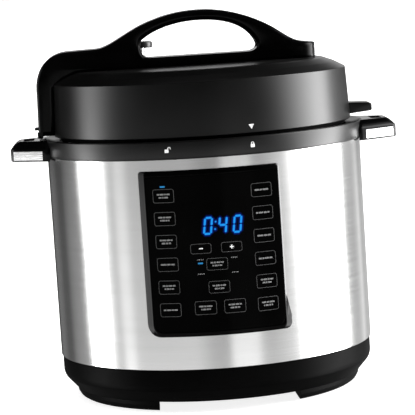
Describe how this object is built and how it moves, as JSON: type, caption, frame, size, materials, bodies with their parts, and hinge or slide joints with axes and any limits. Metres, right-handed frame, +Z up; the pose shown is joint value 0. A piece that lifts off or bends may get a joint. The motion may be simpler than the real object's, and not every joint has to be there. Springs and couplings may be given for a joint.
{
  "type": "electric pressure cooker",
  "caption": "Countertop electric pressure cooker: round steel body on a black base, control panel, side handles and a tall twist-lock lid with an arched handle.",
  "frame": {"origin": "on the surface it stands on, in the middle of the whole object's footprint (the pot's own axis is 16.7 mm in front of it, because the condensation cup stands out at the back)", "axes": "+Z up, front with the control panel towards -Y, +X to the right-hand side handle seen from the front"},
  "size_m": [0.356, 0.3306, 0.3512],
  "materials": {
    "gloss_black": "glossy moulded black plastic",
    "satin_black": "satin moulded black plastic",
    "matte_black": "fine-textured black plastic",
    "brushed_steel": "stainless steel with a fine brushed grain",
    "polished_steel": "polished stainless steel",
    "trim_silver": "bright silver trim",
    "cast_aluminium": "as cast and turned",
    "silicone": "translucent grey silicone",
    "rubber_black": "matt black rubber",
    "clear_plastic": "clear moulded plastic",
    "circuit": "green circuit board",
    "display": "dark display window with blue digits",
    "insulator": "cream moulded insulator"
  },
  "bodies": {
    "base": {"base_tub": "matte_black", "bottom_cover": "matte_black", "foot_pad_1": "rubber_black", "foot_pad_2": "rubber_black", "foot_pad_3": "rubber_black", "foot_pad_4": "rubber_black", "base_screw_1": "polished_steel", "base_screw_2": "polished_steel", "base_screw_3": "polished_steel", "base_screw_4": "polished_steel", "power_board": "circuit", "power_inlet": "matte_black", "pressure_switch": "insulator", "thermal_fuse": "insulator", "steel_housing": "brushed_steel", "rim_collar": "satin_black", "side_handle_right": "gloss_black", "side_handle_left": "gloss_black", "handle_trim_right": "trim_silver", "handle_trim_left": "trim_silver", "cup_rails": "matte_black", "control_bezel": "gloss_black", "control_overlay": "gloss_black", "display_module": "display", "control_board": "circuit", "outer_pot": "cast_aluminium", "heat_shield": "cast_aluminium", "heating_plate": "cast_aluminium", "sensor_seat": "polished_steel", "sensor_spring": "polished_steel"},
    "cup": {"condensation_cup": "clear_plastic"},
    "sensor": {"temperature_sensor": "polished_steel"},
    "pot": {"inner_pot": "polished_steel"},
    "slider": {"lock_slider": "matte_black"},
    "lid": {"lid_cover": "satin_black", "lid_handle": "gloss_black", "lid_underside": "matte_black", "inner_lid": "polished_steel", "sealing_ring": "silicone", "sealing_rack": "polished_steel", "exhaust_pipe": "polished_steel", "pipe_nut": "polished_steel", "valve_shield": "polished_steel", "lid_stud": "polished_steel", "stud_nut": "polished_steel", "handle_screw_1": "polished_steel", "handle_screw_2": "polished_steel"},
    "valve": {"steam_valve": "trim_silver"},
    "float": {"float_valve": "polished_steel", "float_seal": "silicone"}
  },
  "joints": [
    {"name": "lid_turn", "type": "hinge", "parent": "base", "child": "slider", "pos_m": [0, -0.0167, 0.24], "axis": [0, 0, 1], "range_deg": [-30, 0]},
    {"name": "lid_lift", "type": "slide", "parent": "slider", "child": "lid", "axis": [0, 0, 1], "range_m": [0, 0.45]},
    {"name": "pot_lift", "type": "slide", "parent": "base", "child": "pot", "axis": [0, 0, 1], "range_m": [0, 0.205]},
    {"name": "steam_valve_turn", "type": "hinge", "parent": "lid", "child": "valve", "pos_m": [-0.0537, 0.0283, 0.31], "axis": [0, 0, 1], "range_deg": [0, 45]},
    {"name": "float_valve_rise", "type": "slide", "parent": "lid", "child": "float", "axis": [0, 0, 1], "range_m": [0, 0.005]},
    {"name": "temperature_sensor_press", "type": "slide", "parent": "base", "child": "sensor", "axis": [0, 0, 1], "range_m": [-0.003, 0], "stiffness_N_per_m": 900, "springref_m": 0.003, "deforming": ["sensor_spring"]},
    {"name": "condensation_cup_slide", "type": "slide", "parent": "base", "child": "cup", "axis": [0, 1, 0], "range_m": [0, 0.045]}
  ],
  "couplings": [
    {"joint": "pot_lift", "follows": "lid_lift", "ratio": 0.45}
  ]
}
